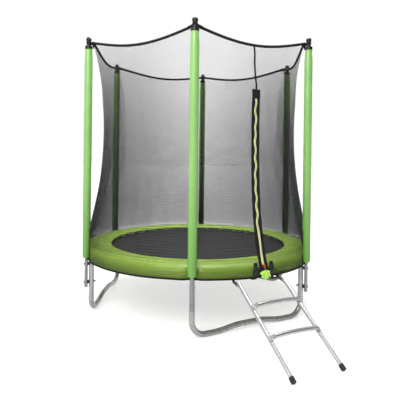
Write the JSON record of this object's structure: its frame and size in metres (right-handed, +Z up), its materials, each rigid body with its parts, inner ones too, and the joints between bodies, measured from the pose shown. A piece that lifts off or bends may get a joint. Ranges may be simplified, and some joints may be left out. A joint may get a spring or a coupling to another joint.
{
  "type": "backyard trampoline",
  "caption": "Round backyard trampoline with green-sleeved poles, a black net enclosure with a zip door, a green pad and a hook-on ladder.",
  "frame": {"origin": "on the floor under the centre of the frame ring", "axes": "+Z up; the door bay and the ladder face -Y"},
  "size_m": [1.9318, 2.4699, 2.05],
  "materials": {
    "galvanised_steel": "dull zinc-coated tube",
    "pole_steel": "zinc-coated tube",
    "sleeve_foam": "light green coated foam sleeve",
    "black_plastic": "moulded black plastic",
    "zinc_fasteners": "zinc-plated",
    "spring_steel": "zinc-plated spring wire",
    "ring_wire": "zinc-plated wire",
    "mat_weave": "woven black jumping fabric",
    "mat_webbing": "black webbing",
    "pad_cover": "light green coated cover over foam",
    "netting": "open knotless mesh",
    "black_trim": "black woven tape",
    "slider_metal": "red painted metal",
    "ribbon": "green and yellow woven ribbon",
    "ladder_steel": "zinc-coated tube",
    "foot_rubber": "moulded rubber"
  },
  "bodies": {
    "frame": {"buckle_sockets": "black_plastic", "door_binding": "black_trim", "door_flap": "black_trim", "door_zip": "black_trim", "frame_pad": "pad_cover", "leg_bolts": "zinc_fasteners", "leg_nuts": "zinc_fasteners", "leg_spacers": "black_plastic", "net_bottom_hem": "black_trim", "net_cap_ties": "black_trim", "net_door_left": "netting", "net_door_right": "netting", "net_top_hem": "black_trim", "net_wall_1": "netting", "net_wall_2": "netting", "net_wall_3": "netting", "net_wall_4": "netting", "net_wall_5": "netting", "pole_caps": "black_plastic", "pole_lower_1": "pole_steel", "pole_lower_2": "pole_steel", "pole_lower_3": "pole_steel", "pole_lower_4": "pole_steel", "pole_lower_5": "pole_steel", "pole_lower_6": "pole_steel", "pole_sleeve_1": "sleeve_foam", "pole_sleeve_2": "sleeve_foam", "pole_sleeve_3": "sleeve_foam", "pole_sleeve_4": "sleeve_foam", "pole_sleeve_5": "sleeve_foam", "pole_sleeve_6": "sleeve_foam", "pole_upper_1": "pole_steel", "pole_upper_2": "pole_steel", "pole_upper_3": "pole_steel", "pole_upper_4": "pole_steel", "pole_upper_5": "pole_steel", "pole_upper_6": "pole_steel", "ring_rail_1": "galvanised_steel", "ring_rail_2": "galvanised_steel", "ring_rail_3": "galvanised_steel", "ring_rail_4": "galvanised_steel", "ring_rail_5": "galvanised_steel", "ring_rail_6": "galvanised_steel", "springs": "spring_steel", "w_leg_1": "galvanised_steel", "w_leg_2": "galvanised_steel", "w_leg_3": "galvanised_steel"},
    "ladder": {"ladder_bolts": "zinc_fasteners", "ladder_feet": "foot_rubber", "ladder_rail_left": "ladder_steel", "ladder_rail_right": "ladder_steel", "ladder_step_lower": "ladder_steel", "ladder_step_upper": "ladder_steel"},
    "mat": {"jump_mat": "mat_weave", "mat_webbing": "mat_webbing", "v_rings": "ring_wire"},
    "slider": {"zip_slider": "slider_metal", "zip_tassel": "ribbon"},
    "buckle_left": {"buckle_plug_left": "black_plastic"},
    "buckle_right": {"buckle_plug_right": "black_plastic"}
  },
  "joints": [
    {"name": "mat_bounce", "type": "slide", "parent": "frame", "child": "mat", "axis": [0, 0, 1], "range_m": [-0.25, 0], "stiffness_N_per_m": 6000, "springref_m": 0.02, "deforming": ["springs"]},
    {"name": "ladder_swing", "type": "hinge", "parent": "frame", "child": "ladder", "pos_m": [-0.03531, -0.87902, 0.422], "axis": [-0.9992, 0.0401, 0], "range_deg": [0, 13]},
    {"name": "zip_slide", "type": "hinge", "parent": "frame", "child": "slider", "pos_m": [0.02075, -3.69555, 1.39974], "axis": [0.9997, 0, -0.0253], "range_deg": [0, 21]},
    {"name": "buckle_left_release", "type": "slide", "parent": "frame", "child": "buckle_left", "axis": [0, 0, 1], "range_m": [0, 0.04]},
    {"name": "buckle_right_release", "type": "slide", "parent": "frame", "child": "buckle_right", "axis": [0, 0, 1], "range_m": [0, 0.04]}
  ]
}
